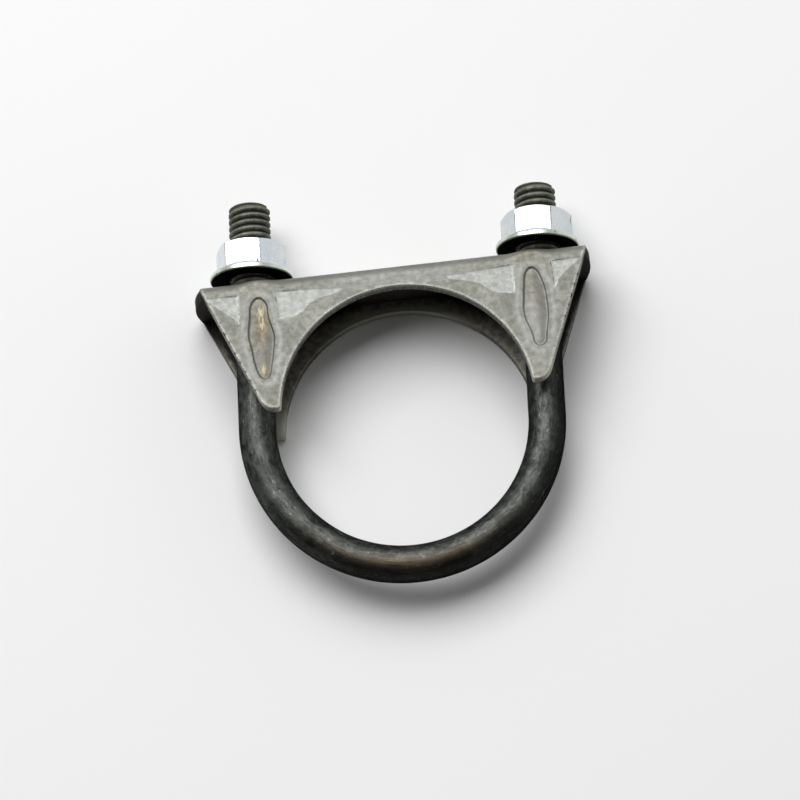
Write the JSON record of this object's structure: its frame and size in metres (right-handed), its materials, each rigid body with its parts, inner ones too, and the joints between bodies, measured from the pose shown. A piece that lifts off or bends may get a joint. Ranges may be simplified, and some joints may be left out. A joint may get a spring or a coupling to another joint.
{
  "type": "u-bolt pipe clamp",
  "caption": "Exhaust-style U-bolt pipe clamp: bent round bar with threaded ends, pressed steel saddle with a pipe arch, and hexagon flange nuts.",
  "frame": {"origin": "centre of the clamp's outline on the plane it lies on, under the saddle's rear wall", "axes": "+Z along the pipe's axis and up from the surface the clamp lies on, +Y along the legs from the bend to the nuts, +X from the left leg to the right leg"},
  "size_m": [0.0894, 0.093, 0.0193],
  "materials": {
    "dark_steel": "oily dark mill scale",
    "mill_steel": "plain pressed sheet, satin",
    "zinc_plate": "bright zinc plate"
  },
  "bodies": {
    "bolt_body": {"u_bolt": "dark_steel"},
    "saddle_body": {"saddle": "mill_steel"},
    "left_nut_body": {"left_nut": "zinc_plate"},
    "right_nut_body": {"right_nut": "zinc_plate"}
  },
  "joints": [
    {"name": "saddle_slide", "type": "slide", "parent": "bolt_body", "child": "saddle_body", "axis": [0, 1, 0], "range_m": [-0.01111, 0.00675]},
    {"name": "left_nut_turn", "type": "hinge", "parent": "saddle_body", "child": "left_nut_body", "pos_m": [-0.03246, 0.02745, 0.00965], "axis": [0, 1, 0], "range_deg": [-2530, 1540]},
    {"name": "right_nut_turn", "type": "hinge", "parent": "saddle_body", "child": "right_nut_body", "pos_m": [0.03304, 0.03134, 0.00965], "axis": [0, 1, 0], "range_deg": [-2530, 1540]}
  ],
  "couplings": [
    {"joint": "left_nut_turn", "follows": "saddle_slide", "rad_per_m": 3957.9},
    {"joint": "right_nut_turn", "follows": "saddle_slide", "rad_per_m": 3957.9}
  ]
}
